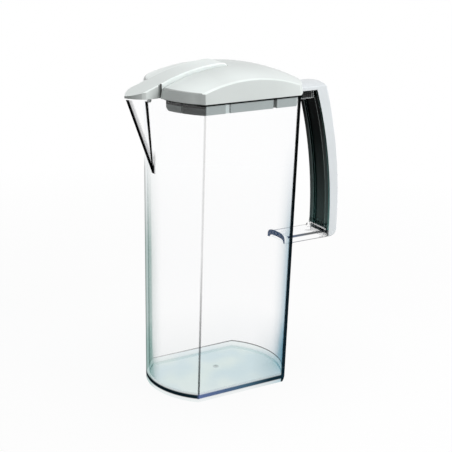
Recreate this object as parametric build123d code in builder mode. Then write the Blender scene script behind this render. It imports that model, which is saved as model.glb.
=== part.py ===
from build123d import *
from math import sqrt
import os

# Water pitcher: a clear moulded jug with a V spout, a two-piece domed lid with a
# hinged pouring flap, and a handle of two clip-on pieces on two clear arms.
# Millimetres. Z is up, the spout points along -X and the handle along +X.
# The origin is the centre of the foot, on the table.

# Jug: two flat sides and two bowed ends, a little wider at the rim than at the foot
RIM_Z = 249.1
FOOT_SIDE, RIM_SIDE = 83.2, 86.7        # length of a flat side
FOOT_WIDTH, RIM_WIDTH = 84.0, 93.1      # distance between the flat sides
FOOT_BOW, RIM_BOW = 19.2, 20.0          # how far a bowed end stands out
JUG_WALL = 2.3
CORNER_R = 1.5                          # rounding of the jug's upright corners
FOOT_RECESS, FOOT_RING = 2.8, 3.0       # height of the hollow foot and width of its ring
FLOOR_TOP = 6.4
GATE_R, GATE_TALL = 2.6, 0.4            # round mark of the moulding gate on the floor

# Spout: three-sided beak whose keel runs down to a point on the end wall
SPOUT_HALF = 11.8
SPOUT_TIP_X, SPOUT_SHOULDER_X = -87.0, -75.5
SPOUT_APEX_X, SPOUT_APEX_Z = -62.8, 186.0
SPOUT_ROOT_X = -50.0                    # inside the jug, where the cavity trims it
SPOUT_LIFT, SPOUT_BACK = 10.9, 1.4      # moves the same form inwards by a 2 mm wall
SPOUT_TOE = 2.0                         # height over the apex where the form starts

# Arms moulded on the jug, which carry the handle
ARM_HALF = 11.9
ARM_Z, ARM_TALL = 112.5, 6.4
ARM_WALL = 2.4
ARM_EDGE = 3.0
ARM_END_X, ARM_TONGUE_X = 104.0, 108.0  # the tongue reaches into the handle's heel
ARM_TONGUE_TALL = 3.6
TOP_ARM_HALF, TOP_ARM_Z, TOP_ARM_TALL = 11.9, 238.0, 8.8
TOP_ARM_END_X = 82.0
LIP_START, LIP_BEND, LIP_TOP = (98.2, 118.9), (100.6, 120.7), (101.3, 124.0)
LIP_BACK_X = 102.2                      # the lip stands just before the grip's lower end
ARM_ROOT_X, TOP_ARM_ROOT_X = 62.6, 64.0 # where the hollows under the arms start

# Lid cover: domed shell with slightly leaning sides
LID_Z = 250.3                           # lower edge, clear of the rim
LID_OVERHANG = 1.3
LID_LEAN = 0.2                          # how far the sides lean in per mm of height
LID_CROWN_Z = 271.9
DOME_LONG_R, DOME_CROSS_R = 146.5, 162.5
LID_WALL = 2.0
LID_EDGE = 1.0

# Lid liner: plate inside the cover and a skirt that plugs the jug's mouth
PLATE_THICK = 1.8
FIT = 0.1                               # between pieces that are pressed together
SKIRT_Z = 241.0
SKIRT_GAP = 0.35                        # between the skirt and the jug's wall
SKIRT_WALL = 1.8
SEAT_INSET = 1.3                        # the liner's seat, in from the jug's outer wall
WINDOW_X, WINDOW_WIDE, WINDOW_DEEP = -21.4, 4.2, 0.9     # thin place in the long sides
GROOVE_X, GROOVE_WIDE, GROOVE_DEEP = 21.9, 3.4, 2.6      # guide groove, with a boss behind
BOSS_WALL = 1.5
END_SLIT_ANGLE, END_SLIT_WIDE, END_SLIT_DEEP = 27.6, 1.0, 0.9
POUR_HALF, POUR_CORNER = 13.5, 4.0      # gap in the skirt towards the spout
PASSAGE_HALF, PASSAGE_X = 10.0, -42.0   # opening in the plate above that gap

# Pouring flap: a tongue along the lid's crown that ends in the beak's cover
FLAP_HALF = 11.8
FLAP_REAR = (-2.0, 273.8)
FLAP_MID = (-32.0, 270.9)
FLAP_NECK = (-61.0, 262.0)
FLAP_BEAK = (-75.5, 256.5)
FLAP_TIP = (-88.2, 251.9)
FLAP_CHEEK = (-83.0, 7.1)               # X and Y of the rounded sides of the point
FLAP_LOW_Z = 250.4                      # lower edge of the beak, clear of the spout's rim
FLAP_SKIN = 1.8
HINGE_X, HINGE_Z = -7.8, 268.0
KNUCKLE_R, SEAT_GAP = 5.8, 0.4
PIN_R, BORE_R = 1.5, 1.55
PIN_REACH = 13.7
FLAP_HEEL, FLAP_BELLY = (-63.6, 250.4), (-58.0, 257.0)
FLAP_EDGE = 1.0
NOTCH_X, NOTCH_WIDE, NOTCH_DEEP = -64.4, 1.4, 1.1  # shadow groove where the flap leaves the lid
HOLLOW_DROP = 0.15                      # the hollow's roof falls a little at its rear
CHANNEL_HALF, CHANNEL_WALL = 12.3, 1.7

# Handle: white cover outside, dark grip inside; points are (X, Z)
HANDLE_HALF = 13.7
COVER_WALL = 1.7
COVER_EDGE = 1.2
BAR_TOP_Z, BAR_EDGE_Z, BAR_LOW_Z = 250.1, 248.6, 245.0
BAR_ROOF_Z = 246.9                      # underside of the bar's top
JUG_GAP = 0.3
BACK_CENTRE, BACK_R = (-272.7, 129.8), 387.0
CROWN_R = 62.0                          # crown across the cover's bar and back
BACK_END_X = 115.0
HEEL_Z, HEEL_R, SHOULDER_R = 112.9, 6.5, 2.5
FRONT_TOP, FRONT_MID, FRONT_LOW = (84.5, 245.0), (98.9, 188.5), (104.2, 119.0)
GRIP_TOP_Z, GRIP_LOW_Z = 244.0, 119.2
GRIP_PROUD, GRIP_DEEP = 1.5, 5.0
RECESS_HALF, RECESS_DEEP = 8.6, 2.0

OVER = 1.0                              # how far cutting forms run past what they cut
TALL_EDGE = 5.0                         # upright edges are longer than this
TOLERANCE = 0.01                        # for picking edges by their place
FACES_UP = 0.5                          # faces that look up have a normal of more than this in Z

os.makedirs("parts", exist_ok=True)


def outline(side, width, bow, inset, height):
    """Face with two flat sides and two bowed ends, moved in by inset all round."""
    radius = (width**2 / 4 + bow**2) / (2 * bow)
    centre = side / 2 + bow - radius
    half = width / 2 - inset
    corner = centre + sqrt((radius - inset) ** 2 - half**2)
    end = centre + radius - inset
    with BuildSketch(Plane.XY.offset(height)) as face:
        with BuildLine():
            Line((-corner, -half), (corner, -half))
            ThreePointArc((corner, -half), (end, 0), (corner, half))
            Line((corner, half), (-corner, half))
            ThreePointArc((-corner, half), (-end, 0), (-corner, -half))
        make_face()
    return face.sketch.face()


def jug_outline(height, inset=0.0):
    """The jug's outline at a height, taken in by inset."""
    t = height / RIM_Z
    side = FOOT_SIDE + (RIM_SIDE - FOOT_SIDE) * t
    width = FOOT_WIDTH + (RIM_WIDTH - FOOT_WIDTH) * t
    bow = FOOT_BOW + (RIM_BOW - FOOT_BOW) * t
    return outline(side, width, bow, inset, height)


def lid_outline(height, inset=0.0):
    """The lid's outline at a height; its sides lean in."""
    lean = LID_LEAN * (height - LID_Z)
    return outline(RIM_SIDE, RIM_WIDTH, RIM_BOW, inset + lean - LID_OVERHANG, height)


def spout_outline(height, back, lift):
    """Five-sided section of the spout; back and lift shift the form for its inner face."""
    t = (height - lift - SPOUT_APEX_Z) / (RIM_Z - SPOUT_APEX_Z)
    half = SPOUT_HALF * t
    shoulder = SPOUT_APEX_X - back + (SPOUT_SHOULDER_X - SPOUT_APEX_X) * t
    tip = SPOUT_APEX_X - back + (SPOUT_TIP_X - SPOUT_APEX_X) * t
    with BuildSketch(Plane.XY.offset(height)) as face:
        with BuildLine():
            Polyline(
                (SPOUT_ROOT_X, -half),
                (shoulder, -half),
                (tip, 0),
                (shoulder, half),
                (SPOUT_ROOT_X, half),
                close=True,
            )
        make_face()
    return face.sketch.face()


def barrel(centre, radius, cross_r, reach):
    """Solid bowed along X about a centre (X, Z), and crowned across by cross_r."""
    crown = centre[1] + radius
    sag = cross_r - sqrt(cross_r**2 - reach**2)
    with BuildPart() as body:
        with BuildSketch(Plane.YZ.offset(centre[0])):
            with BuildLine():
                ThreePointArc((-reach, crown - sag), (0, crown), (reach, crown - sag))
                Polyline(
                    (reach, crown - sag),
                    (reach, centre[1]),
                    (-reach, centre[1]),
                    (-reach, crown - sag),
                )
            make_face()
        revolve(axis=Axis((centre[0], 0, centre[1]), (0, 1, 0)), revolution_arc=360)
    return body.part


def dome(drop):
    """Solid whose crown is the lid's dome, lowered by drop."""
    centre = (0, LID_CROWN_Z - DOME_LONG_R)
    return barrel(centre, DOME_LONG_R - drop, DOME_CROSS_R, RIM_WIDTH)


# Clear jug with its spout, hollow foot and two arms
with BuildPart() as jug_body:
    loft([jug_outline(0), jug_outline(RIM_Z)], ruled=True)
    upright = [e for e in jug_body.edges() if e.bounding_box().size.Z > RIM_Z / 2]
    fillet(upright, radius=CORNER_R)
    loft(
        [
            spout_outline(SPOUT_APEX_Z + SPOUT_TOE, 0, 0),
            spout_outline(RIM_Z, 0, 0),
        ],
        ruled=True,
    )
    with BuildSketch(Plane.XZ):
        with BuildLine():
            Polyline(
                (RIM_SIDE / 2, ARM_Z),
                (ARM_END_X, ARM_Z),
                (ARM_END_X, ARM_Z + ARM_TALL - ARM_TONGUE_TALL),
                (ARM_TONGUE_X, ARM_Z + ARM_TALL - ARM_TONGUE_TALL),
                (ARM_TONGUE_X, ARM_Z + ARM_TALL),
                (RIM_SIDE / 2, ARM_Z + ARM_TALL),
                close=True,
            )
        make_face()
    extrude(amount=ARM_HALF, both=True)
    top_edges = jug_body.edges().filter_by(Axis.X).filter_by_position(
        Axis.Z, ARM_Z + ARM_TALL - TOLERANCE, ARM_Z + ARM_TALL + TOLERANCE
    )
    fillet(top_edges, radius=ARM_EDGE)
    # low lip across the lower arm, in front of the grip's end
    with BuildSketch(Plane.XZ):
        with BuildLine():
            ThreePointArc(LIP_START, LIP_BEND, LIP_TOP)
            Polyline(
                LIP_TOP,
                (LIP_BACK_X, LIP_TOP[1]),
                (LIP_BACK_X, ARM_Z + ARM_TALL - ARM_EDGE),
                (LIP_START[0], ARM_Z + ARM_TALL - ARM_EDGE),
                LIP_START,
            )
        make_face()
    extrude(amount=ARM_HALF, both=True)
    with BuildSketch(Plane.XZ):
        with Locations(((TOP_ARM_END_X + RIM_SIDE / 2) / 2, TOP_ARM_Z + TOP_ARM_TALL / 2)):
            Rectangle(TOP_ARM_END_X - RIM_SIDE / 2, TOP_ARM_TALL)
    extrude(amount=TOP_ARM_HALF, both=True)
    # inside of the jug and of the spout
    loft(
        [jug_outline(FLOOR_TOP, JUG_WALL), jug_outline(RIM_Z + OVER, JUG_WALL)],
        ruled=True,
        mode=Mode.SUBTRACT,
    )
    loft(
        [
            spout_outline(SPOUT_APEX_Z + SPOUT_LIFT + OVER, SPOUT_BACK, SPOUT_LIFT),
            spout_outline(RIM_Z + OVER, SPOUT_BACK, SPOUT_LIFT),
        ],
        ruled=True,
        mode=Mode.SUBTRACT,
    )
    # hollow foot, and the gate's mark on the floor
    extrude(jug_outline(0, FOOT_RING), amount=FOOT_RECESS, mode=Mode.SUBTRACT)
    with BuildSketch(Plane.XY.offset(FLOOR_TOP)):
        Circle(GATE_R)
    extrude(amount=GATE_TALL)
    # the arms are channels, open underneath; the upper one is open at its end too
    with BuildSketch(Plane.XZ):
        with Locations(
            ((ARM_END_X - ARM_WALL + ARM_ROOT_X) / 2, ARM_Z + (ARM_TALL - ARM_WALL) / 2)
        ):
            Rectangle(ARM_END_X - ARM_WALL - ARM_ROOT_X, ARM_TALL - ARM_WALL)
    extrude(amount=ARM_HALF - ARM_WALL, both=True, mode=Mode.SUBTRACT)
    with BuildSketch(Plane.XZ):
        with Locations(
            ((TOP_ARM_END_X + TOP_ARM_ROOT_X) / 2, TOP_ARM_Z + (TOP_ARM_TALL - ARM_WALL) / 2)
        ):
            Rectangle(TOP_ARM_END_X - TOP_ARM_ROOT_X, TOP_ARM_TALL - ARM_WALL)
    extrude(amount=TOP_ARM_HALF - ARM_WALL, both=True, mode=Mode.SUBTRACT)
jug_body.part.label = "jug_body"
export_step(jug_body.part, "parts/jug_body.step")

# Space above the liner's plate, inside the cover's walls
with BuildPart() as lid_core:
    loft([lid_outline(LID_Z - OVER, LID_WALL), lid_outline(LID_CROWN_Z, LID_WALL)], ruled=True)
    add(dome(LID_WALL), mode=Mode.INTERSECT)

# Flap's channel through the lid, open at the spout's end, round at the hinge
with BuildPart() as channel_space:
    with BuildSketch(Plane.XZ):
        with Locations((HINGE_X, HINGE_Z)):
            Circle(KNUCKLE_R + SEAT_GAP)
        with BuildLine():
            Polyline(
                (HINGE_X, LID_Z - OVER),
                (HINGE_X, FLAP_REAR[1] + OVER),
                (SPOUT_TIP_X, FLAP_REAR[1] + OVER),
                (SPOUT_TIP_X, LID_Z - OVER),
                close=True,
            )
        make_face()
    extrude(amount=CHANNEL_HALF, both=True)

# Walls of the channel, before they are trimmed to the lid
with BuildPart() as channel_walls:
    with BuildSketch(Plane.XZ):
        with Locations((HINGE_X, HINGE_Z)):
            Circle(KNUCKLE_R + SEAT_GAP + CHANNEL_WALL)
        with BuildLine():
            Polyline(
                (HINGE_X + CHANNEL_WALL, LID_Z + PLATE_THICK),
                (HINGE_X + CHANNEL_WALL, FLAP_REAR[1] + OVER),
                (SPOUT_TIP_X, FLAP_REAR[1] + OVER),
                (SPOUT_TIP_X, LID_Z + PLATE_THICK),
                close=True,
            )
        make_face()
    extrude(amount=CHANNEL_HALF + CHANNEL_WALL, both=True)
    loft(
        [lid_outline(LID_Z - OVER, LID_EDGE), lid_outline(LID_CROWN_Z, LID_EDGE)],
        ruled=True,
        mode=Mode.INTERSECT,
    )
    add(dome(LID_EDGE), mode=Mode.INTERSECT)

# Domed cover of the lid
with BuildPart() as lid_cover:
    loft([lid_outline(LID_Z), lid_outline(FLAP_REAR[1])], ruled=True)
    fillet([e for e in lid_cover.edges() if e.bounding_box().size.Z > TALL_EDGE], radius=LID_EDGE)
    add(dome(0), mode=Mode.INTERSECT)
    crown = [e for e in lid_cover.edges() if e.bounding_box().min.Z > LID_Z + TALL_EDGE]
    fillet(crown, radius=LID_EDGE)
    add(lid_core.part, mode=Mode.SUBTRACT)
    add(channel_walls.part)
    add(channel_space.part, mode=Mode.SUBTRACT)
    with BuildSketch(Plane.XZ):
        with Locations((HINGE_X, HINGE_Z)):
            Circle(BORE_R)
    extrude(amount=CHANNEL_HALF + CHANNEL_WALL + OVER, both=True, mode=Mode.SUBTRACT)
lid_cover.part.label = "lid_cover"
export_step(lid_cover.part, "parts/lid_cover.step")

# Liner: plate that closes the cover underneath, and the slotted skirt
with BuildPart() as lid_liner:
    loft(
        [lid_outline(LID_Z, LID_WALL + FIT), lid_outline(LID_Z + PLATE_THICK, LID_WALL + FIT)],
        ruled=True,
    )
    loft(
        [
            jug_outline(SKIRT_Z, JUG_WALL + SKIRT_GAP),
            jug_outline(LID_Z, JUG_WALL + SKIRT_GAP),
        ],
        ruled=True,
    )
    # seat that rests on the jug's rim
    loft([jug_outline(RIM_Z + FIT, SEAT_INSET), jug_outline(LID_Z, SEAT_INSET)], ruled=True)
    loft(
        [
            jug_outline(SKIRT_Z - OVER, JUG_WALL + SKIRT_GAP + SKIRT_WALL),
            jug_outline(LID_Z, JUG_WALL + SKIRT_GAP + SKIRT_WALL),
        ],
        ruled=True,
        mode=Mode.SUBTRACT,
    )
    # passage from the jug to the spout, through the skirt and the plate
    with BuildSketch(Plane.YZ.offset(-RIM_SIDE)):
        with Locations((0, (LID_Z + SKIRT_Z - OVER) / 2)):
            Rectangle(2 * POUR_HALF, LID_Z - SKIRT_Z + OVER)
    extrude(amount=RIM_SIDE / 2, mode=Mode.SUBTRACT)
    ends = [
        e
        for e in lid_liner.edges().filter_by(Axis.X)
        if abs(abs((e @ 0.5).Y) - POUR_HALF) < TOLERANCE and (e @ 0.5).Z < SKIRT_Z + TOLERANCE
    ]
    fillet(ends, radius=POUR_CORNER)
    with BuildSketch(Plane.XY.offset(LID_Z)):
        with Locations(((PASSAGE_X - RIM_SIDE) / 2, 0)):
            Rectangle(RIM_SIDE + PASSAGE_X, 2 * PASSAGE_HALF)
    extrude(amount=PLATE_THICK, mode=Mode.SUBTRACT)
    # thin place and guide groove in both long sides of the skirt
    side_y = RIM_WIDTH / 2 - JUG_WALL - SKIRT_GAP
    with Locations((WINDOW_X, side_y, SKIRT_Z), (WINDOW_X, -side_y, SKIRT_Z)):
        Box(WINDOW_WIDE, 2 * WINDOW_DEEP, 2 * (RIM_Z - SKIRT_Z), mode=Mode.SUBTRACT)
    boss_y = side_y - (GROOVE_DEEP + BOSS_WALL) / 2 - TOLERANCE
    boss_z = (SKIRT_Z + LID_Z) / 2
    with Locations((GROOVE_X, boss_y, boss_z), (GROOVE_X, -boss_y, boss_z)):
        Box(GROOVE_WIDE + 2 * BOSS_WALL, GROOVE_DEEP + BOSS_WALL, LID_Z - SKIRT_Z)
    with Locations((GROOVE_X, side_y, SKIRT_Z), (GROOVE_X, -side_y, SKIRT_Z)):
        Box(GROOVE_WIDE, 2 * GROOVE_DEEP, 2 * (RIM_Z - SKIRT_Z), mode=Mode.SUBTRACT)
    # fine upright slits in the skirt's end towards the spout
    end_r = (RIM_WIDTH**2 / 4 + RIM_BOW**2) / (2 * RIM_BOW) - JUG_WALL - SKIRT_GAP
    end_x = end_r + JUG_WALL + SKIRT_GAP - RIM_SIDE / 2 - RIM_BOW
    for turn in (END_SLIT_ANGLE, -END_SLIT_ANGLE):
        with Locations(Location((end_x, 0, SKIRT_Z), (0, 0, turn))):
            with Locations((-end_r, 0)):
                Box(2 * END_SLIT_DEEP, END_SLIT_WIDE, 2 * (RIM_Z - SKIRT_Z), mode=Mode.SUBTRACT)
lid_liner.part.label = "lid_liner"
export_step(lid_liner.part, "parts/lid_liner.step")

# Hollow under the flap's skin
with BuildPart() as flap_hollow:
    with BuildSketch(Plane.XZ):
        with BuildLine():
            ThreePointArc(
                (HINGE_X - KNUCKLE_R - FLAP_SKIN, FLAP_REAR[1] - FLAP_SKIN - HOLLOW_DROP),
                (FLAP_MID[0], FLAP_MID[1] - FLAP_SKIN),
                (FLAP_NECK[0], FLAP_NECK[1] - FLAP_SKIN),
            )
            Polyline(
                (FLAP_NECK[0], FLAP_NECK[1] - FLAP_SKIN),
                (FLAP_BEAK[0], FLAP_BEAK[1] - FLAP_SKIN),
                (FLAP_TIP[0] + 2 * FLAP_SKIN, FLAP_LOW_Z),
                (FLAP_TIP[0] + 2 * FLAP_SKIN, FLAP_LOW_Z - OVER),
                (HINGE_X - KNUCKLE_R - FLAP_SKIN, FLAP_LOW_Z - OVER),
                (HINGE_X - KNUCKLE_R - FLAP_SKIN, FLAP_REAR[1] - FLAP_SKIN - HOLLOW_DROP),
            )
        make_face()
    extrude(amount=FLAP_HALF - FLAP_SKIN, both=True)
    with BuildSketch(Plane.XY.offset(FLAP_LOW_Z - OVER)):
        with BuildLine():
            Polyline(
                (FLAP_REAR[0], -FLAP_HALF),
                (FLAP_BEAK[0] + FLAP_SKIN, -FLAP_HALF),
                (FLAP_TIP[0] + 2 * FLAP_SKIN, 0),
                (FLAP_BEAK[0] + FLAP_SKIN, FLAP_HALF),
                (FLAP_REAR[0], FLAP_HALF),
                close=True,
            )
        make_face()
    extrude(amount=FLAP_REAR[1] - FLAP_LOW_Z + 2 * OVER, mode=Mode.INTERSECT)

# Round rear end of the flap, about the hinge
with BuildPart() as flap_knuckle:
    with BuildSketch(Plane.XZ):
        with Locations((HINGE_X, HINGE_Z)):
            Circle(KNUCKLE_R)
    extrude(amount=FLAP_HALF, both=True)
    fillet(flap_knuckle.edges().filter_by(GeomType.CIRCLE), radius=FLAP_EDGE)

# Pouring flap with its knuckle and the two pins of its hinge
with BuildPart() as spout_flap:
    with BuildSketch(Plane.XZ):
        with BuildLine():
            ThreePointArc((HINGE_X, FLAP_REAR[1]), FLAP_MID, FLAP_NECK)
            Polyline(
                FLAP_NECK,
                FLAP_BEAK,
                FLAP_TIP,
                (FLAP_TIP[0], FLAP_LOW_Z),
                FLAP_HEEL,
                FLAP_BELLY,
                (HINGE_X, HINGE_Z - KNUCKLE_R),
                (HINGE_X, FLAP_REAR[1]),
            )
        make_face()
    extrude(amount=FLAP_HALF, both=True)
    skin = [f for f in spout_flap.faces() if f.normal_at().Z > FACES_UP]
    sides = [
        e for f in skin for e in f.edges() if abs(abs((e @ 0.5).Y) - FLAP_HALF) < TOLERANCE
    ]
    fillet(sides, radius=FLAP_EDGE)
    add(flap_knuckle.part)
    with BuildSketch(Plane.XY.offset(FLAP_LOW_Z - OVER)):
        with BuildLine():
            Polyline(
                (HINGE_X + 2 * KNUCKLE_R, -FLAP_HALF),
                (FLAP_BEAK[0], -FLAP_HALF),
            )
            ThreePointArc(
                (FLAP_BEAK[0], -FLAP_HALF), (FLAP_CHEEK[0], -FLAP_CHEEK[1]), (FLAP_TIP[0], 0)
            )
            ThreePointArc((FLAP_TIP[0], 0), FLAP_CHEEK, (FLAP_BEAK[0], FLAP_HALF))
            Polyline(
                (FLAP_BEAK[0], FLAP_HALF),
                (HINGE_X + 2 * KNUCKLE_R, FLAP_HALF),
                (HINGE_X + 2 * KNUCKLE_R, -FLAP_HALF),
            )
        make_face()
    extrude(amount=FLAP_REAR[1] - FLAP_LOW_Z + 2 * OVER, mode=Mode.INTERSECT)
    add(flap_hollow.part, mode=Mode.SUBTRACT)
    with Locations((NOTCH_X, FLAP_HALF, FLAP_NECK[1]), (NOTCH_X, -FLAP_HALF, FLAP_NECK[1])):
        Box(NOTCH_WIDE, 2 * NOTCH_DEEP, 2 * (FLAP_REAR[1] - FLAP_LOW_Z), mode=Mode.SUBTRACT)
    with BuildSketch(Plane.XZ):
        with Locations((HINGE_X, HINGE_Z)):
            Circle(PIN_R)
    extrude(amount=PIN_REACH, both=True)
spout_flap.part.label = "spout_flap"
export_step(spout_flap.part, "parts/spout_flap.step")

# Hollow of the handle's cover
with BuildPart() as cover_core:
    with BuildSketch(Plane.XZ):
        with BuildLine():
            Polyline(
                (RIM_SIDE / 2, HEEL_Z + COVER_WALL),
                (BACK_END_X, HEEL_Z + COVER_WALL),
                (BACK_END_X, BAR_ROOF_Z),
                (RIM_SIDE / 2, BAR_ROOF_Z),
                close=True,
            )
        make_face()
    extrude(amount=HANDLE_HALF - COVER_WALL, both=True)
    add(barrel(BACK_CENTRE, BACK_R - COVER_WALL, CROWN_R, HANDLE_HALF), mode=Mode.INTERSECT)
    heel = cover_core.edges().sort_by_distance((BACK_END_X, 0, HEEL_Z))[0]
    fillet(heel, radius=HEEL_R - COVER_WALL)

# White cover of the handle: a bar and a bowed back, open towards the jug
with BuildPart() as handle_cover:
    with BuildSketch(Plane.XZ):
        with BuildLine():
            Polyline(
                FRONT_TOP,
                (RIM_SIDE / 2, BAR_LOW_Z),
                (RIM_SIDE / 2, BAR_TOP_Z),
                (BACK_END_X, BAR_TOP_Z),
                (BACK_END_X, HEEL_Z),
                (FRONT_LOW[0], HEEL_Z),
                FRONT_LOW,
            )
            ThreePointArc(FRONT_LOW, FRONT_MID, FRONT_TOP)
        make_face()
    extrude(amount=HANDLE_HALF, both=True)
    add(barrel(BACK_CENTRE, BACK_R, CROWN_R, 2 * HANDLE_HALF), mode=Mode.INTERSECT)
    # the bar is crowned across its top
    with BuildSketch(Plane.YZ.offset(RIM_SIDE / 2)):
        with BuildLine():
            ThreePointArc((-HANDLE_HALF, BAR_EDGE_Z), (0, BAR_TOP_Z), (HANDLE_HALF, BAR_EDGE_Z))
            Polyline(
                (HANDLE_HALF, BAR_EDGE_Z),
                (HANDLE_HALF, HEEL_Z),
                (-HANDLE_HALF, HEEL_Z),
                (-HANDLE_HALF, BAR_EDGE_Z),
            )
        make_face()
    extrude(amount=BACK_END_X - RIM_SIDE / 2, mode=Mode.INTERSECT)
    shoulder = handle_cover.edges().sort_by_distance((BACK_END_X, 0, BAR_TOP_Z))[0]
    fillet(shoulder, radius=SHOULDER_R)
    heel = handle_cover.edges().sort_by_distance((BACK_END_X, 0, HEEL_Z))[0]
    fillet(heel, radius=HEEL_R)
    outer = [
        e
        for e in handle_cover.edges()
        if abs(abs((e @ 0.5).Y) - HANDLE_HALF) < TOLERANCE
        and ((e @ 0.5).X > FRONT_LOW[0] + OVER or (e @ 0.5).Z > BAR_LOW_Z + COVER_WALL)
    ]
    fillet(outer, radius=COVER_EDGE)
    add(cover_core.part, mode=Mode.SUBTRACT)
    # the bar's end follows the bowed wall of the jug
    loft(
        [jug_outline(BAR_LOW_Z - OVER, -JUG_GAP), jug_outline(BAR_TOP_Z + OVER, -JUG_GAP)],
        ruled=True,
        mode=Mode.SUBTRACT,
    )
handle_cover.part.label = "handle_cover"
export_step(handle_cover.part, "parts/handle_cover.step")


def front_band(near, far, half):
    """Bowed strip along the handle's front edge, from near to far behind that edge."""
    with BuildPart() as band:
        with BuildSketch(Plane.XZ):
            with BuildLine():
                ThreePointArc(
                    (FRONT_LOW[0] + near, FRONT_LOW[1]),
                    (FRONT_MID[0] + near, FRONT_MID[1]),
                    (FRONT_TOP[0] + near, FRONT_TOP[1]),
                )
                Line((FRONT_TOP[0] + near, FRONT_TOP[1]), (FRONT_TOP[0] + far, FRONT_TOP[1]))
                ThreePointArc(
                    (FRONT_TOP[0] + far, FRONT_TOP[1]),
                    (FRONT_MID[0] + far, FRONT_MID[1]),
                    (FRONT_LOW[0] + far, FRONT_LOW[1]),
                )
                Line((FRONT_LOW[0] + far, FRONT_LOW[1]), (FRONT_LOW[0] + near, FRONT_LOW[1]))
            make_face()
        extrude(amount=half, both=True)
    return band.part


# Dark grip: fills the cover's front, with a hollowed face for the fingers
with BuildPart() as handle_grip:
    add(front_band(-GRIP_PROUD, 0, HANDLE_HALF))
    add(front_band(0, GRIP_DEEP, HANDLE_HALF - COVER_WALL - FIT))
    add(front_band(-2 * GRIP_PROUD, RECESS_DEEP - GRIP_PROUD, RECESS_HALF), mode=Mode.SUBTRACT)
    with BuildSketch(Plane.XY.offset(GRIP_LOW_Z)):
        Rectangle(3 * BACK_END_X, 3 * HANDLE_HALF)
    extrude(amount=GRIP_TOP_Z - GRIP_LOW_Z, mode=Mode.INTERSECT)
    # tongue that fills the channel of the upper arm
    with BuildSketch(Plane.YZ.offset(TOP_ARM_ROOT_X + JUG_GAP)):
        with Locations((0, (TOP_ARM_Z + GRIP_TOP_Z) / 2)):
            Rectangle(2 * (TOP_ARM_HALF - ARM_WALL - FIT), GRIP_TOP_Z - TOP_ARM_Z)
    extrude(amount=FRONT_TOP[0] + GRIP_DEEP - TOP_ARM_ROOT_X - JUG_GAP)
handle_grip.part.label = "handle_grip"
export_step(handle_grip.part, "parts/handle_grip.step")
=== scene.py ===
"""Water pitcher: the looks of the clear jug, its domed lid, pouring flap and clip-on handle.

Metres. Z is up, the spout points along -X and the handle along +X. Every shape sits where
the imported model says; the finishes are procedural and read Object coordinates. The numbers
in their masks are millimetres, and shares from 0 to 1.
"""

import bmesh
import bpy
from bpy.props import FloatProperty, FloatVectorProperty, PointerProperty
from mathutils import Matrix, Vector

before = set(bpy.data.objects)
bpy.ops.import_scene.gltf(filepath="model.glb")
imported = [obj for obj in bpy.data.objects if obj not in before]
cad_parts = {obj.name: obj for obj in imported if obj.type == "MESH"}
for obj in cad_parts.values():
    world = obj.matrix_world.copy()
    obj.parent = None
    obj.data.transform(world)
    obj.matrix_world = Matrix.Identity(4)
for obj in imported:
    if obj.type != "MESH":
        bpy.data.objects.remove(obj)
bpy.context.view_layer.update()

bl_info = {
    "name": "Water Pitcher",
    "version": (1, 0, 0),
    "blender": (4, 5, 0),
    "location": "View3D > Sidebar > Pitcher",
    "description": "Dresses the packed water pitcher and sets the table and lamps round it",
    "category": "Object",
}

MM = 0.001
WHITE = (1.0, 1.0, 1.0, 1.0)
SAN_IOR = 1.57
POLYPROPYLENE_IOR = 1.49
ABSORPTION = 2.5                    # of the clear plastic, for each metre of the light's way
SCRATCH_SPACING = 1.1111            # mm; real ones are finer, and these just show
BEVEL_SAMPLES = 6
MIXED_COLOUR = 2                    # the output of a Mix node that gives its colour

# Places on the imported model, in millimetres
SPOUT_ROOT_X = -60.5                # the spout lies beyond this
SPOUT_APEX_X = -62.8                # where the spout's point starts
SPOUT_APEX_Z = 187.6
SHOULDER_SLOPE = 12.7 / 11.8        # how far the shoulder folds go out for each mm aside
CORNER_X = 41.6                     # the jug's upright corners, at the table's height
CORNER_Y = 42.0
END_LEAN = 0.00703                  # how far they move along the jug for each mm of height
SIDE_LEAN = 0.01827                 # and how far aside
FOOT_RING_Z = 2.9
FLOOR_LINE_Z = 6.9                  # the light's line round the floor
FLOOR_TOP_Z = 8.7
RIM_Z = 248.9
ARM_ROOT_X = 62.6                   # both arms lie beyond this
UPPER_ARM_Z = 230.0                 # the upper arm lies over this
ARM_UPPER_EDGE = (11.1, 118.1)      # the lower arm's edges: how far aside and how high
ARM_LOWER_EDGE = (11.9, 112.5)
ARM_BASE_Z = 112.8
ARM_TOP_Z = 120.2
WALL_INSIDE_X = (57.0, 60.0)        # the end wall's inner face behind the lower arm
HEEL_X = 97.0                       # the lower arm's lip starts here
HEEL_LIP_X = 100.8
FLAP_SLIT_X = -62.8                 # where the flap leaves the lid
LID_EDGE_Z = 250.3                  # the cover's lower edge
LID_SIDE_LEAN = 0.2
LINER_WINDOW_X = -21.4              # the thin place of the skirt
LINER_GROOVE_X = 21.9
LINER_END_X = -41.0                 # the skirt's end towards the spout
GRIP_RIM_Y = 8.9

# Colours that belong to the light, not to a piece
GRIP_CAST = "#DFFFFD"               # the smoked grip's gloss is a little green
DEEP_BLACK = "#0A0D0D"              # trapped light high up on the jug
GLINT = "#F2F6F7"
SHADOW_CAST = "#F7FAFB"             # what the clear plastic takes from a lamp
SKY = "#FAFDFF"
# colours along the foot, from the spout's end (0) to the handle's end (1)
FOOT_COLOURS = (
    (0.0, "#1A3440"), (0.14, "#213F4C"), (0.155, "#7488BE"), (0.3, "#6A80AC"),
    (0.53, "#527790"), (0.74, "#1A3644"), (1.0, "#122833"),
)

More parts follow.
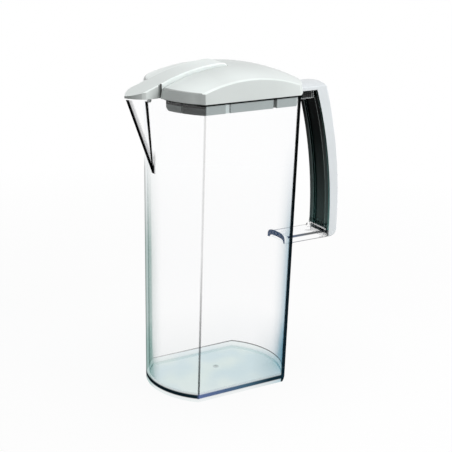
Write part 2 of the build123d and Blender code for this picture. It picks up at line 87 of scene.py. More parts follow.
# Stage, in metres
LAMP_WIDTH = 0.6
TOP_LAMP_PLACE = (0.0, -0.05, 1.1)
SIDE_LAMP_PLACE = (0.65, -0.95, 0.6)
LAMP_TARGET = Vector((0.0, 0.0, 0.15))
SENSOR_WIDTH = 36.0                 # this one in millimetres, as cameras take it
CAMERA_PLACE = (-0.49358, -0.79827, 0.43836)
CAMERA_TURN = (
    (0.85130, 0.14135, -0.50528),
    (-0.52409, 0.27480, -0.80611),
    (0.02490, 0.95105, 0.30802),
)


def linear(code):
    """The linear colour of an sRGB hex value, without its alpha."""
    shares = [int(code[i:i + 2], 16) / 255 for i in (1, 3, 5)]
    return tuple(s / 12.92 if s <= 0.04045 else ((s + 0.055) / 1.055) ** 2.4 for s in shares)


def opaque(colour):
    """A colour, as three linear numbers or a hex value, with the alpha that a socket takes."""
    return (*(linear(colour) if isinstance(colour, str) else colour), 1.0)


def add_node(tree, kind, inputs=None, **settings):
    """Adds a node; inputs gives each socket a value, or the number or socket that it reads."""
    made = tree.nodes.new(kind)
    for name, value in settings.items():
        setattr(made, name, value)
    for socket, value in (inputs or {}).items():
        source = value.socket if isinstance(value, Number) else value
        if isinstance(source, bpy.types.NodeSocket):
            tree.links.new(source, made.inputs[socket])
        else:
            made.inputs[socket].default_value = source
    return made


class Number:
    """A number in a shader. Each operator on it adds the node that works out the result, so a
    mask is written as the formula that it is."""

    def __init__(self, tree, socket):
        self.tree = tree
        self.socket = socket

    def work_out(self, operation, *terms):
        """The result of one operation on the terms."""
        made = add_node(self.tree, "ShaderNodeMath", dict(enumerate(terms)), operation=operation)
        return Number(self.tree, made.outputs["Value"])

    def __abs__(self):
        return self.work_out("ABSOLUTE", self)

    def __add__(self, other):
        return self.work_out("ADD", self, other)

    def __sub__(self, other):
        return self.work_out("SUBTRACT", self, other)

    def __rsub__(self, other):
        return self.work_out("SUBTRACT", other, self)

    def __mul__(self, other):
        return self.work_out("MULTIPLY", self, other)

    def __truediv__(self, other):
        return self.work_out("DIVIDE", self, other)

    def __pow__(self, power):
        return self.work_out("POWER", self, power)

    def __gt__(self, other):
        return self.work_out("GREATER_THAN", self, other)

    def __lt__(self, other):
        return self.work_out("LESS_THAN", self, other)

    def at_most(self, other):
        """The smaller of this and the other."""
        return self.work_out("MINIMUM", self, other)

    def or_more(self, *others):
        """The largest of this and the others."""
        largest = self
        for other in others:
            largest = self.work_out("MAXIMUM", largest, other)
        return largest

    def fade(self, start, end, low=0.0, high=1.0):
        """Goes from low to high while this goes from start to end."""
        made = add_node(
            self.tree, "ShaderNodeMapRange",
            {"Value": self, "From Min": start, "From Max": end, "To Min": low, "To Max": high},
        )
        return Number(self.tree, made.outputs["Result"])


class Seen:
    """What a shader reads at a point: the place in metres for textures, its parts in
    millimetres for masks, how the face is turned, and whether its back is looked at."""

    def __init__(self, tree):
        self.tree = tree
        self.place = add_node(tree, "ShaderNodeTexCoord").outputs["Object"]
        self.x, self.y, self.z = (part / MM for part in self.parts_of(self.place))
        self.aside = abs(self.y)
        geometry = add_node(tree, "ShaderNodeNewGeometry")
        self.normal = geometry.outputs["Normal"]
        self.turned_x, self.turned_y, self.turned_z = self.parts_of(self.normal)
        self.inside = Number(tree, geometry.outputs["Backfacing"])

    def parts_of(self, vector):
        """The three numbers of a vector."""
        split = add_node(self.tree, "ShaderNodeSeparateXYZ", {"Vector": vector})
        return [Number(self.tree, part) for part in split.outputs]

    def rounded(self, radius):
        """The normal with the edges rounded, and how far the real one agrees with it: 1 on
        the flats and less beside an edge."""
        soft = add_node(self.tree, "ShaderNodeBevel", {"Radius": radius}, samples=BEVEL_SAMPLES)
        both = add_node(
            self.tree, "ShaderNodeVectorMath",
            {0: self.normal, 1: soft.outputs["Normal"]}, operation="DOT_PRODUCT",
        )
        return soft.outputs["Normal"], Number(self.tree, both.outputs["Value"])


def new_material(name):
    """An empty material and its node tree."""
    made = bpy.data.materials.new(name)
    made.use_nodes = True
    made.node_tree.nodes.clear()
    return made, made.node_tree


def paint_ramp(ramp, stops):
    """Gives a colour ramp its stops, each a place and an sRGB hex value."""
    for at, _ in stops[len(ramp.elements):]:
        ramp.elements.new(at)
    for element, (at, code) in zip(ramp.elements, stops):
        element.position = at
        element.color = opaque(code)


def finish_with(piece, material):
    """Gives a piece one material all over."""
    piece.data.materials.clear()
    piece.data.materials.append(material)


# Sizes and colours that a user would change

class PitcherSizes(bpy.types.PropertyGroup):
    wave_spacing: FloatProperty(
        name="Flow wave spacing",
        description="Distance between the faint waves that the flow leaves in the clear walls",
        default=28 * MM, min=MM, unit="LENGTH",
    )
    grain_spacing: FloatProperty(
        name="Satin grain",
        description="Spacing of the spark-eroded grain on the white mouldings",
        default=0.45 * MM, min=0.05 * MM, unit="LENGTH",
    )
    # the same radius rounds the edges' shading and sets the width of their painted highlights
    edge_radius: FloatProperty(
        name="Edge radius", description="Radius over which the edges of the mouldings are rubbed",
        default=0.6 * MM, min=0.05 * MM, unit="LENGTH",
    )
    sink_spacing: FloatProperty(
        name="Sink spacing",
        description="Distance between the shallow sinks in the thick white mouldings",
        default=24 * MM, min=MM, unit="LENGTH",
    )
    scuff_height: FloatProperty(
        name="Scuffed foot height",
        description="Height over the table up to which the foot is scuffed by use",
        default=2.2 * MM, min=0.0, unit="LENGTH",
    )
    table_width: FloatProperty(
        name="Table width",
        description="Side of the square table top",
        default=8.0, min=1.0, unit="LENGTH",
    )


class PitcherColours(bpy.types.PropertyGroup):
    clear_tint: FloatVectorProperty(
        name="Clear plastic",
        description="Colour that a long way through the clear plastic takes on",
        subtype="COLOR", min=0.0, max=1.0, default=linear("#3C82B4"),
    )
    oblique_tint: FloatVectorProperty(
        name="Clear plastic, seen obliquely",
        description="Cast of the clear plastic where it is looked at along its surface",
        subtype="COLOR", min=0.0, max=1.0, default=linear("#5E847C"),
    )
    handle_end_tint: FloatVectorProperty(
        name="Clear plastic, handle end",
        description="Cast of the clear plastic towards the handle, where it is bluer",
        subtype="COLOR", min=0.0, max=1.0, default=linear("#5A889C"),
    )
    floor_tint: FloatVectorProperty(
        name="Clear floor", description="Cast of the jug's thick floor",
        subtype="COLOR", min=0.0, max=1.0, default=linear("#E0EDEA"),
    )
    floor_blue: FloatVectorProperty(
        name="Clear floor, thicker places", description="Bluer cast of the floor's thicker places",
        subtype="COLOR", min=0.0, max=1.0, default=linear("#D2E4E8"),
    )
    trapped_tint: FloatVectorProperty(
        name="Trapped light", description="Darkest tone of the clear plastic near the foot",
        subtype="COLOR", min=0.0, max=1.0, default=linear("#122630"),
    )
    arm_tint: FloatVectorProperty(
        name="Arm's section", description="Blue of the arm where it is looked at along its length",
        subtype="COLOR", min=0.0, max=1.0, default=linear("#3C78BC"),
    )
    lid_white: FloatVectorProperty(
        name="Lid", description="White of the lid's cover and of the flap",
        subtype="COLOR", min=0.0, max=1.0, default=linear("#DDE3E1"),
    )
    liner_grey: FloatVectorProperty(
        name="Liner", description="Pale grey of the lid's plate and skirt",
        subtype="COLOR", min=0.0, max=1.0, default=linear("#C2C9C8"),
    )
    handle_white: FloatVectorProperty(
        name="Handle cover", description="White of the handle's outer piece",
        subtype="COLOR", min=0.0, max=1.0, default=linear("#EEF3F6"),
    )
    grip_dark: FloatVectorProperty(
        name="Grip", description="Smoke black of the handle's inner piece",
        subtype="COLOR", min=0.0, max=1.0, default=linear("#34524F"),
    )
    table_pale: FloatVectorProperty(
        name="Table", description="Pale colour of the table top",
        subtype="COLOR", min=0.0, max=1.0, default=linear("#BEBEBC"),
    )


class PitcherStage(bpy.types.PropertyGroup):
    lens: FloatProperty(
        name="Lens", description="Focal length of the camera",
        default=94.13, min=10.0, unit="CAMERA",
    )
    top_power: FloatProperty(
        name="Top lamp", description="Power of the large soft lamp overhead",
        default=6.6, min=0.0, unit="POWER",
    )
    side_power: FloatProperty(
        name="Side lamp", description="Power of the soft lamp in front on the right",
        default=9.6, min=0.0, unit="POWER",
    )
    sky_level: FloatProperty(
        name="Sky level", description="Strength of the even light from all round",
        default=0.08, min=0.0, subtype="FACTOR", soft_max=1.0,
    )


# Masks of the clear jug. facing is 0 where a face is looked at squarely and 1 along it.

def outer_faces(seen):
    """1 on the outer surface of a wall, where it is looked at from outside."""
    outwards = seen.x * seen.turned_x + seen.y * seen.turned_y
    return (outwards > 0.4) * (1.0 - seen.inside)


def spout_folds(seen):
    """Share of darkness along the keel and the shoulder folds of the spout, which turn light
    aside. The shoulder folds are broadest at the rim."""
    off_shoulder = abs(seen.aside * SHOULDER_SLOPE - SPOUT_APEX_X + seen.x)
    spread = off_shoulder / seen.z.fade(190.0, 245.0, 0.6, 1.0)
    shoulder = spread.fade(1.05, 1.8, 1.0, 0.0)
    keel = seen.aside.fade(1.5, 2.1, 1.0, 0.4) * seen.aside.fade(2.8, 4.0, 1.0, 0.0)
    return shoulder.or_more(keel) * (seen.x < SPOUT_ROOT_X) * (seen.z > SPOUT_APEX_Z)


def upright_corners(seen):
    """Share of darkness of the rounded upright corners, which grows towards the foot."""
    off_end = abs(abs(seen.x) - CORNER_X - seen.z * END_LEAN)
    off_side = seen.aside - CORNER_Y - seen.z * SIDE_LEAN
    near = off_end.fade(0.5, 1.1, 1.0, 0.0) * off_side.fade(-0.9, -0.4)
    return near * (seen.z > FOOT_RING_Z) * seen.z.fade(25.0, 130.0, 0.85, 0.25)


def handle_corners(seen):
    """1 along the strip beside the two corners at the handle's end, where light is trapped."""
    off = abs(seen.x - CORNER_X - seen.z * END_LEAN + 0.1)
    return off.fade(1.2, 2.0, 1.0, 0.0) * (seen.aside > 38.0)


def near_line(seen, edge, reach):
    """1 near a line along X, fading out at about the reach from it."""
    across, up = seen.aside - edge[0], seen.z - edge[1]
    off = (across * across + up * up) ** 0.5
    return off.fade(0.75 * reach, 1.25 * reach, 1.0, 0.0)


def arm_edges(seen):
    """Share of darkness along the rounded upper edges and the lower edges of the lower arm."""
    upper = near_line(seen, ARM_UPPER_EDGE, 1.1) * 0.85
    lower = near_line(seen, ARM_LOWER_EDGE, 0.7) * 0.6
    return upper.or_more(lower) * (seen.x > ARM_ROOT_X)


def arm_section(seen):
    """1 where the section of the lower arm, an arch with a rounded top and a hollow under it,
    shows through the wall that it grows from."""
    up = seen.z - ARM_BASE_Z
    arch, hollow = (
        (seen.aside / half_width) ** 4.0 + (up / height).or_more(0.0) ** 4.0
        for half_width, height in ((13.2, 7.6), (10.2, 2.9))
    )
    band = arch.fade(0.85, 1.1, 1.0, 0.0) * hollow.fade(0.85, 1.15)
    on_wall = (seen.x > WALL_INSIDE_X[0]) * (seen.x < WALL_INSIDE_X[1])
    return band * up.fade(0.0, 0.5) * on_wall


def floor_marks(seen, level):
    """Share of darkness of the line round the floor and of the gate mark in its middle."""
    line = abs(seen.z - FLOOR_LINE_Z).fade(0.4, 0.7, 1.0, 0.0)
    strength = seen.x.fade(-45.0, 50.0, 0.3, 0.75) * (1.0 - level)
    off_middle = (seen.x * seen.x + seen.y * seen.y) ** 0.5
    return (line * strength).or_more(off_middle.fade(1.2, 2.4, 0.4, 0.0))


def wall_tint_and_shade(seen, outer, facing):
    """Share of the walls' tint where a wall is looked at along its surface, and painted shade
    that grows towards the foot and into the lower corners at the handle's end."""
    x, z = seen.x, seen.z
    height = z.fade(120.0, 205.0, 0.87, 0.0) + z.fade(20.0, 45.0, 0.4, 0.0)
    oblique = facing.fade(0.4, 0.72) ** 1.3 * height * (x < ARM_ROOT_X)
    foot = z.fade(5.0, 48.0, 0.12, 0.0) + z.fade(2.4, 2.7, 0.18, 0.0)
    corner = x.fade(8.0, 38.0) * outer * z.fade(20.0, 68.0, 1.2, 0.0) * z.fade(8.0, 20.0, 0.6, 1.0)
    return oblique.or_more(foot + corner)


def trapped_light(seen, outer, facing, level, edge):
    """Share of painted darkness where light stays trapped: the spout's folds, the outlines and the
    corners, the heel and the arm's edges and the line round the floor; a dark line along the rim
    under the lid; and the gate mark in the floor's middle."""
    x, z = seen.x, seen.z
    looked_at = 1.0 - seen.inside
    handle_end = facing.fade(0.66, 0.74) * x.fade(36.0, 40.0)
    spout_end = facing.fade(0.80, 0.90, 0.0, 0.45) * (x < -40.0) * z.fade(186.0, 196.0, 1.0, 0.0)
    outside = spout_folds(seen).or_more(
        handle_end, spout_end, upright_corners(seen), handle_corners(seen)
    )
    rim = z.fade(RIM_Z - 0.6, RIM_Z, 0.0, 0.85) * x.fade(-50.0, -46.0)
    heel = (x > HEEL_X) * edge * 0.85
    marks = floor_marks(seen, level) * (1.0 - outer) * looked_at
    return (outside * outer).or_more(rim, heel, arm_edges(seen) * looked_at, marks)


def foot_band(seen, outer):
    """Share of the lit band round the foot, between its ring and the floor's top."""
    z = seen.z
    top = z.fade(6.0, FLOOR_LINE_Z, 1.0, 0.3) * z.fade(7.0, 9.0, 1.0, 0.0)
    return z.fade(2.6, 3.4) * top * outer


def mirror_share(seen, outer, normal):
    """Share of gloss: a little on the outer faces, and most on the heel's polished end."""
    fresnel = add_node(seen.tree, "ShaderNodeFresnel", {"IOR": SAN_IOR, "Normal": normal})
    sheen = Number(seen.tree, fresnel.outputs["Fac"]).at_most(0.12) * outer * 0.5
    at_heel = (abs(seen.turned_x) > 0.6) * (seen.x > HEEL_LIP_X) * (seen.z < ARM_TOP_Z)
    return sheen.or_more(at_heel * 0.6)


# Finishes

def clear_tone(seen, colours, outer, facing, level, clouds):
    """The colour of the light that comes through the jug: the walls' tint with its painted shade,
    and the cast of the thick floor, painted lighter towards the spout and the sides."""
    tree, x = seen.tree, seen.x
    tint = add_node(
        tree, "ShaderNodeMix",
        {"Factor": x.fade(0.0, 40.0), "A": opaque(colours.oblique_tint),
         "B": opaque(colours.handle_end_tint)},
        data_type="RGBA",
    )
    wall = add_node(
        tree, "ShaderNodeMix",
        {"Factor": wall_tint_and_shade(seen, outer, facing), "A": WHITE, "B": tint.outputs[MIXED_COLOUR]},
        data_type="RGBA",
    )
    # a line of sight passes two walls but one floor, and each of them at two faces
    wall_tone = add_node(
        tree, "ShaderNodeGamma", {"Color": wall.outputs[MIXED_COLOUR], "Gamma": 0.5}
    )
    floor = add_node(
        tree, "ShaderNodeMix",
        {"Factor": clouds.fade(0.4, 0.6), "A": opaque(colours.floor_tint),
         "B": opaque(colours.floor_blue)},
        data_type="RGBA",
    )
    lit_floor = add_node(
        tree, "ShaderNodeMix",
        {"Factor": x.fade(10.0, -50.0, 0.14, 0.3) * seen.aside.fade(0.0, 40.0, 0.4, 1.0),
         "A": floor.outputs[MIXED_COLOUR], "B": WHITE},
        data_type="RGBA",
    )
    tone = add_node(
        tree, "ShaderNodeMix",
        {"Factor": (seen.z < FLOOR_TOP_Z) * level, "A": wall_tone.outputs["Color"],
         "B": lit_floor.outputs[MIXED_COLOUR]},
        data_type="RGBA",
    )
    through = add_node(
        tree, "ShaderNodeGamma", {"Color": tone.outputs[MIXED_COLOUR], "Gamma": 0.5}
    )
    return through.outputs["Color"]


def clear_plastic(sizes, colours):
    """Clear styrene acrylonitrile, injection moulded in a polished tool: glass-bright, faintly
    wavy where the plastic flowed, blue-green where light runs a long way through it, with painted
    darkness along its folds and its foot and a painted glint on the upper arm's edges, and dull on
    the foot where it slides on the table."""
    material, tree = new_material("clear_polished_san")
    seen = Seen(tree)
    x, z = seen.x, seen.z
    outer = outer_faces(seen)
    level = abs(seen.turned_z) > 0.6
    weight = add_node(tree, "ShaderNodeLayerWeight", {"Blend": 0.5})
    facing = Number(tree, weight.outputs["Facing"])
    _, agreement = seen.rounded(0.7 * MM)
    edge = agreement.fade(0.93, 0.99, 1.0, 0.0)
    waves = add_node(
        tree, "ShaderNodeTexNoise",
        {"Vector": seen.place, "Scale": 1 / sizes.wave_spacing, "Detail": 1.0, "Roughness": 0.4},
    )
    flow = add_node(
        tree, "ShaderNodeBump",
        {"Height": waves.outputs["Fac"], "Strength": 0.25, "Distance": 0.12 * MM},
    )
    scratches = add_node(
        tree, "ShaderNodeTexNoise",
        {"Vector": seen.place, "Scale": 1 / (SCRATCH_SPACING * MM), "Detail": 2.0,
         "Roughness": 0.7},
    )
    scuff = z.fade(0.0, sizes.scuff_height / MM, 0.22, 0.0)
    clouds = Number(tree, waves.outputs["Fac"])
    # thin walls with polished faces don't bend what is seen through them
    straight = add_node(
        tree, "ShaderNodeBsdfTransparent",
        {"Color": clear_tone(seen, colours, outer, facing, level, clouds)},
    )
    gloss = add_node(
        tree, "ShaderNodeBsdfGlossy",
        {"Roughness": scuff * scratches.outputs["Fac"] + 0.012, "Normal": flow.outputs["Normal"]},
    )
    surface = add_node(
        tree, "ShaderNodeMixShader",
        {0: mirror_share(seen, outer, flow.outputs["Normal"]),
         1: straight.outputs["BSDF"], 2: gloss.outputs["BSDF"]},
    )
    darkness = add_node(
        tree, "ShaderNodeMix",
        {"Factor": z.fade(20.0, 180.0, 1.0, 0.0), "A": opaque(DEEP_BLACK),
         "B": opaque(colours.trapped_tint)},
        data_type="RGBA",
    )
    along_foot = add_node(tree, "ShaderNodeValToRGB", {"Fac": x.fade(-60.0, 60.0)})
    paint_ramp(along_foot.color_ramp, FOOT_COLOURS)
    on_upper_arm = (x > ARM_ROOT_X + 0.4) * (z > UPPER_ARM_Z)
    arm_blue = (arm_section(seen) * 0.95).or_more(
        arm_edges(seen) * x.fade(66.0, 84.0, 0.35, 0.0)
    )
    # painted over the clear walls, each over the ones before: the painted dark lines, the painted
    # glint of the upper arm's edges before the grip, and the painted blue of the foot and of the
    # lower arm
    for share, colour in (
        (trapped_light(seen, outer, facing, level, edge), darkness.outputs[MIXED_COLOUR]),
        (on_upper_arm * edge * 0.85, opaque(GLINT)),
        (foot_band(seen, outer), along_foot.outputs["Color"]),
        (arm_blue, opaque(colours.arm_tint)),
    ):
        drawn = add_node(tree, "ShaderNodeBsdfDiffuse", {"Color": colour})
        surface = add_node(
            tree, "ShaderNodeMixShader",
            {0: share, 1: surface.outputs["Shader"], 2: drawn.outputs["BSDF"]},
        )
    lamp_way = add_node(tree, "ShaderNodeBsdfTransparent", {"Color": opaque(SHADOW_CAST)})
    path = add_node(tree, "ShaderNodeLightPath")
    surface = add_node(
        tree, "ShaderNodeMixShader",
        {0: path.outputs["Is Shadow Ray"], 1: surface.outputs["Shader"],
         2: lamp_way.outputs["BSDF"]},
    )
    depth = add_node(
        tree, "ShaderNodeVolumeAbsorption",
        {"Color": opaque(colours.clear_tint), "Density": ABSORPTION},
    )
    add_node(
        tree, "ShaderNodeOutputMaterial",
        {"Surface": surface.outputs["Shader"], "Volume": depth.outputs["Volume"]},
    )
    return material


def moulded_plastic(name, colour, roughness, grain_depth, sizes, shade, shine=None, edge_highlight_gain=1.25):
    """An injection moulded plastic with a fine even grain, shallow sinks over the ribs, a
    slight cloudiness in the colour and painted highlights along the edges. shade works out what
    the colour is multiplied by, with its painted light and shade, and shine how strong the gloss
    is."""
    material, tree = new_material(name)
    seen = Seen(tree)
    # the tool's real grain is finer, and is drawn as coarse as it needs to show
    grain = add_node(
        tree, "ShaderNodeTexNoise",
        {"Vector": seen.place, "Scale": 1 / sizes.grain_spacing, "Detail": 2.0, "Roughness": 0.6},
    )
    sinks = add_node(
        tree, "ShaderNodeTexNoise",
        {"Vector": seen.place, "Scale": 1 / sizes.sink_spacing, "Detail": 1.0, "Roughness": 0.4},
    )
    soft_normal, agreement = seen.rounded(sizes.edge_radius)
    shallow = add_node(
        tree, "ShaderNodeBump",
        {"Height": sinks.outputs["Fac"], "Strength": 0.35, "Distance": 0.25 * MM,
         "Normal": soft_normal},
    )
    fine = add_node(
        tree, "ShaderNodeBump",
        {"Height": grain.outputs["Fac"], "Strength": 0.3, "Distance": grain_depth,
         "Normal": shallow.outputs["Normal"]},
    )
    cloud = Number(tree, sinks.outputs["Fac"]).fade(0.3, 0.7, 0.965, 1.0)
    # painted highlight: the colour is made paler along the edges, where their rounding catches
    # light
    rubbed = agreement.fade(0.97, 0.998, edge_highlight_gain, 1.0)
    tone = add_node(
        tree, "ShaderNodeVectorMath", {0: colour, "Scale": cloud * rubbed * shade(seen)},
        operation="SCALE",
    )
    satin = Number(tree, grain.outputs["Fac"]).fade(
        0.3, 0.7, roughness - 0.03, roughness + 0.05
    )
    body = add_node(
        tree, "ShaderNodeBsdfPrincipled",
        {"Base Color": tone.outputs["Vector"], "Roughness": satin, "IOR": POLYPROPYLENE_IOR,
         "Specular IOR Level": shine(seen, agreement) if shine else 0.5,
         "Specular Tint": opaque(GRIP_CAST) if shine else WHITE,
         "Normal": fine.outputs["Normal"]},
    )
    add_node(tree, "ShaderNodeOutputMaterial", {"Surface": body.outputs["BSDF"]})
    return material


def upright_share(seen):
    """1 on upright faces and 0 on level ones."""
    return abs(seen.turned_z).fade(0.3, 0.6, 1.0, 0.0)


def flap_shade(seen):
    """The slits where the flap leaves the lid are drawn nearly black, its rims get a painted
    highlight, and the flanks of its beak get painted shade."""
    x, aside = seen.x, seen.aside
    slit = abs(x - FLAP_SLIT_X).fade(0.6, 0.8, 1.0, 0.0) * aside.fade(10.5, 10.65)
    rim = aside.fade(10.2, 10.6, 1.0, 1.28)
    on_beak = (x < -62.0) * upright_share(seen)
    flank = (x.fade(-76.0, -64.0, 1.0, 0.62) - 1.0) * on_beak + 1.0
    return slit.fade(0.0, 1.0, 1.0, 0.03) * rim * flank


def cover_shade(seen):
    """Painted light and shade on the cover: the dome is painted darker along the crown and towards
    the handle and lighter towards the spout, the edges between the dome and the leaning sides get
    a painted highlight, the end over the spout and the sides towards the handle are painted
    brighter, and the end's lower edge gets painted shade."""
    x, z, aside = seen.x, seen.z, seen.aside
    crown = aside.fade(10.0, 38.0, 0.78, 1.0) * x.fade(-10.0, 20.0, 1.0, 0.89)
    crown = crown * x.fade(-50.0, -25.0, 1.24, 1.0)
    lean = aside + (z - LID_EDGE_Z) * LID_SIDE_LEAN
    crease = lean.fade(45.4, 46.2, 1.0, 1.14)
    end_edge = z.fade(258.4, 258.8, 0.55, 0.0) * (x < -45.0)
    top = crown * crease * (1.0 - end_edge)
    sides = x.fade(20.0, 45.0, 1.0, 1.08) * x.fade(-50.0, -47.0, 1.24, 1.0)
    upright = upright_share(seen)
    return top * (1.0 - upright) + sides * upright


def bar_shade(seen):
    """Painted shade: the handle's level top is drawn a little darker than its upright faces."""
    return upright_share(seen).fade(0.0, 1.0, 0.73, 1.0)


def liner_shade(seen):
    """The seat under the cover is drawn nearly black, the thin places of the skirt get painted
    light, and the groove and the end towards the spout get painted shade."""
    x = seen.x
    seat_start = x.fade(LINER_END_X - 1.0, LINER_END_X, 246.4, 248.6)
    seat = 1.0 - (seen.z > seat_start) * 0.95
    window = abs(x - LINER_WINDOW_X).fade(1.9, 2.2, 1.55, 1.0)
    groove = abs(x - LINER_GROOVE_X).fade(1.5, 1.8, 0.5, 1.0)
    end = (seen.aside.fade(28.3, 28.8, 0.88, 0.26) - 1.0) * (x < LINER_END_X) + 1.0
    return window * groove * end * seat


def grip_shade(seen):
    """The smoke-black grip is black near the bar and painted lighter near its heel, where light
    gets in, and its rims get a painted highlight."""
    height = seen.z.fade(118.0, 240.0, 1.0, 0.28) ** 3.0
    return height * seen.aside.fade(8.5, 8.7, 1.0, 1.5)


def grip_shine(seen, agreement):
    """The grip's gloss: strongest near the heel, on the rims and along their rubbed edges."""
    z, aside = seen.z, seen.aside
    hollow = z.fade(125.0, 200.0, 0.37, 0.1) ** 2.0
    rim = aside.fade(8.4, 8.8) * z.fade(130.0, 225.0, 0.22, 0.0)
    rim_line = abs(aside - GRIP_RIM_Y).fade(0.25, 0.45, 1.0, 0.0) * (abs(seen.turned_y) < 0.6)
    rim_line = rim_line * z.fade(130.0, 225.0, 0.85, 0.4)
    return hollow.or_more(rim, rim_line, agreement.fade(0.95, 0.995, 0.7, 0.0))


# One operator for each piece

class PITCHER_OT_jug(bpy.types.Operator):
    """Finishes the clear jug"""

    bl_idname = "pitcher.jug"
    bl_label = "Clear jug"

    def execute(self, context):
        settings = context.scene
        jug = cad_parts["jug_body"]
        finish_with(jug, clear_plastic(settings.pitcher_sizes, settings.pitcher_colours))
        return {"FINISHED"}


class PITCHER_OT_lid(bpy.types.Operator):
    """Finishes the lid's cover and the pouring flap in it"""

    bl_idname = "pitcher.lid"
    bl_label = "Lid cover and flap"

    def execute(self, context):
        sizes = context.scene.pitcher_sizes
        colour = context.scene.pitcher_colours.lid_white
        # polypropylene from a spark-eroded tool: a soft satin white
        for node, name, shade in (
            ("lid_cover", "satin_white_pp", cover_shade),
            ("spout_flap", "satin_white_flap_pp", flap_shade),
        ):
            white = moulded_plastic(
                name, colour, roughness=0.32, grain_depth=0.02 * MM, sizes=sizes, shade=shade
            )
            finish_with(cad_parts[node], white)
        return {"FINISHED"}


class PITCHER_OT_liner(bpy.types.Operator):
    """Finishes the plate and skirt under the lid"""

    bl_idname = "pitcher.liner"
    bl_label = "Lid liner"

    def execute(self, context):
        sizes = context.scene.pitcher_sizes
        colour = context.scene.pitcher_colours.liner_grey
        # polypropylene from a coarser tool, since it lies under the cover: nearly matt
        grey = moulded_plastic(
            "matt_grey_pp", colour, roughness=0.42, grain_depth=0.03 * MM, sizes=sizes,
            shade=liner_shade,
        )
        finish_with(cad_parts["lid_liner"], grey)
        return {"FINISHED"}


class PITCHER_OT_handle(bpy.types.Operator):
    """Finishes the handle's white cover and dark grip"""

    bl_idname = "pitcher.handle"
    bl_label = "Handle"

    def execute(self, context):
        sizes = context.scene.pitcher_sizes
        colours = context.scene.pitcher_colours
        # the same satin polypropylene as the lid's, in a colder white
        white = moulded_plastic(
            "satin_white_handle_pp", colours.handle_white, roughness=0.3,
            grain_depth=0.02 * MM, sizes=sizes, shade=bar_shade,
        )
        # ABS from a polished tool: smooth enough to mirror the white surroundings at a slant
        dark = moulded_plastic(
            "gloss_black_abs", colours.grip_dark, roughness=0.12, grain_depth=0.006 * MM,
            sizes=sizes, shade=grip_shade, shine=grip_shine, edge_highlight_gain=5.0,
        )
        finish_with(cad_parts["handle_cover"], white)
        finish_with(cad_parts["handle_grip"], dark)
        return {"FINISHED"}


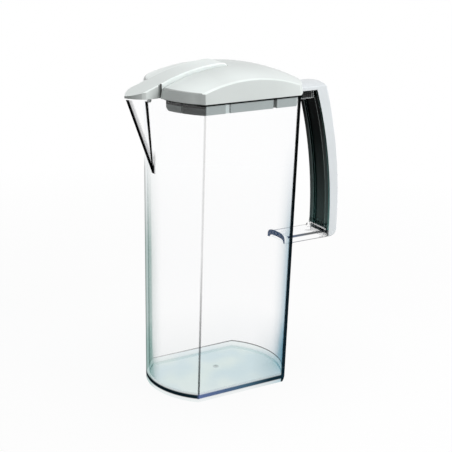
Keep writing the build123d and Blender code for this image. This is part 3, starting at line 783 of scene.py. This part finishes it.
class PITCHER_OT_stage(bpy.types.Operator):
    """Sets the table, the lamps, the sky and the camera"""

    bl_idname = "pitcher.stage"
    bl_label = "Table, lamps and camera"

    def execute(self, context):
        scene = context.scene
        stage = scene.pitcher_stage
        scene.view_settings.view_transform = "Standard"
        scene.cycles.transparent_max_bounces = 24
        self.lay_table(scene)
        self.set_sky(scene, stage.sky_level)
        self.hang_lamp(scene, "top_lamp", stage.top_power, TOP_LAMP_PLACE)
        self.hang_lamp(scene, "side_lamp", stage.side_power, SIDE_LAMP_PLACE)
        self.set_camera(scene, stage.lens)
        return {"FINISHED"}

    @staticmethod
    def background_rays(tree):
        """1 for the rays that see the background: from the camera, a gloss or clear plastic."""
        path = add_node(tree, "ShaderNodeLightPath")
        camera, glossy, through = (
            Number(tree, path.outputs[kind])
            for kind in ("Is Camera Ray", "Is Glossy Ray", "Is Transmission Ray")
        )
        return camera.or_more(glossy, through)

    def lay_table(self, scene):
        """A square table top that looks white, and keeps the object's shadow."""
        mesh = bpy.data.meshes.new("table")
        form = bmesh.new()
        bmesh.ops.create_grid(
            form, x_segments=1, y_segments=1, size=scene.pitcher_sizes.table_width / 2
        )
        form.to_mesh(mesh)
        form.free()
        table = bpy.data.objects.new("table", mesh)
        scene.collection.objects.link(table)
        # pressed laminate: an even pale face without a grain
        material, tree = new_material("pale_table_laminate")
        pale = opaque(scene.pitcher_colours.table_pale)
        lit = add_node(tree, "ShaderNodeBsdfDiffuse", {"Color": pale})
        glow = add_node(tree, "ShaderNodeEmission", {"Color": WHITE, "Strength": 1.0})
        bright = add_node(tree, "ShaderNodeBsdfDiffuse", {"Color": WHITE})
        place = add_node(tree, "ShaderNodeTexCoord").outputs["Object"]
        away = add_node(tree, "ShaderNodeVectorMath", {0: place}, operation="LENGTH")
        # the shadow shows near the object, and further off the table is plain white
        share = Number(tree, away.outputs["Value"]).fade(0.25, 0.7, 0.92, 1.0)
        shown = add_node(
            tree, "ShaderNodeMixShader",
            {0: share, 1: bright.outputs["BSDF"], 2: glow.outputs["Emission"]},
        )
        surface = add_node(
            tree, "ShaderNodeMixShader",
            {0: self.background_rays(tree), 1: lit.outputs["BSDF"], 2: shown.outputs["Shader"]},
        )
        add_node(tree, "ShaderNodeOutputMaterial", {"Surface": surface.outputs["Shader"]})
        finish_with(table, material)

    def set_sky(self, scene, level):
        """Even soft light from all round, which looks white where it is the background."""
        world = bpy.data.worlds.new("studio")
        world.use_nodes = True
        tree = world.node_tree
        tree.nodes.clear()
        soft, white = (
            add_node(tree, "ShaderNodeBackground", {"Color": colour, "Strength": strength})
            for colour, strength in ((opaque(SKY), level), (WHITE, 1.0))
        )
        sky = add_node(
            tree, "ShaderNodeMixShader",
            {0: self.background_rays(tree), 1: soft.outputs["Background"],
             2: white.outputs["Background"]},
        )
        add_node(tree, "ShaderNodeOutputWorld", {"Surface": sky.outputs["Shader"]})
        scene.world = world

    @staticmethod
    def hang_lamp(scene, name, power, place):
        """A square soft lamp that looks at the middle of the object."""
        lamp = bpy.data.lights.new(name, "AREA")
        lamp.energy = power
        lamp.size = LAMP_WIDTH
        holder = bpy.data.objects.new(name, lamp)
        scene.collection.objects.link(holder)
        holder.location = place
        holder.visible_glossy = False
        holder.visible_transmission = False
        holder.rotation_mode = "QUATERNION"
        holder.rotation_quaternion = (LAMP_TARGET - holder.location).to_track_quat("-Z", "Y")

    @staticmethod
    def set_camera(scene, lens):
        """The photograph's place and angle of view."""
        data = bpy.data.cameras.new("camera")
        data.lens = lens
        data.sensor_width = SENSOR_WIDTH
        data.clip_start, data.clip_end = 0.05, 50.0
        camera = bpy.data.objects.new("camera", data)
        scene.collection.objects.link(camera)
        camera.matrix_world = Matrix.Translation(CAMERA_PLACE) @ Matrix(CAMERA_TURN).to_4x4()
        scene.camera = camera


class PITCHER_PT_sidebar(bpy.types.Panel):
    """Sizes, colours and steps of the water pitcher"""

    bl_idname = "PITCHER_PT_sidebar"
    bl_label = "Water Pitcher"
    bl_space_type = "VIEW_3D"
    bl_region_type = "UI"
    bl_category = "Pitcher"

    def draw(self, context):
        scene = context.scene
        for group in (scene.pitcher_sizes, scene.pitcher_colours, scene.pitcher_stage):
            box = self.layout.box()
            for name in group.__annotations__:
                box.prop(group, name)
        for step in STEPS:
            self.layout.operator(step.bl_idname)


GROUPS = (PitcherSizes, PitcherColours, PitcherStage)
STEPS = (PITCHER_OT_jug, PITCHER_OT_lid, PITCHER_OT_liner, PITCHER_OT_handle, PITCHER_OT_stage)


def register():
    for each in (*GROUPS, *STEPS, PITCHER_PT_sidebar):
        bpy.utils.register_class(each)
    bpy.types.Scene.pitcher_sizes = PointerProperty(type=PitcherSizes)
    bpy.types.Scene.pitcher_colours = PointerProperty(type=PitcherColours)
    bpy.types.Scene.pitcher_stage = PointerProperty(type=PitcherStage)


def unregister():
    del bpy.types.Scene.pitcher_stage
    del bpy.types.Scene.pitcher_colours
    del bpy.types.Scene.pitcher_sizes
    for each in reversed((*GROUPS, *STEPS, PITCHER_PT_sidebar)):
        bpy.utils.unregister_class(each)


def main():
    register()
    bpy.ops.pitcher.jug()
    bpy.ops.pitcher.lid()
    bpy.ops.pitcher.liner()
    bpy.ops.pitcher.handle()
    bpy.ops.pitcher.stage()


if __name__ == "__main__":
    main()
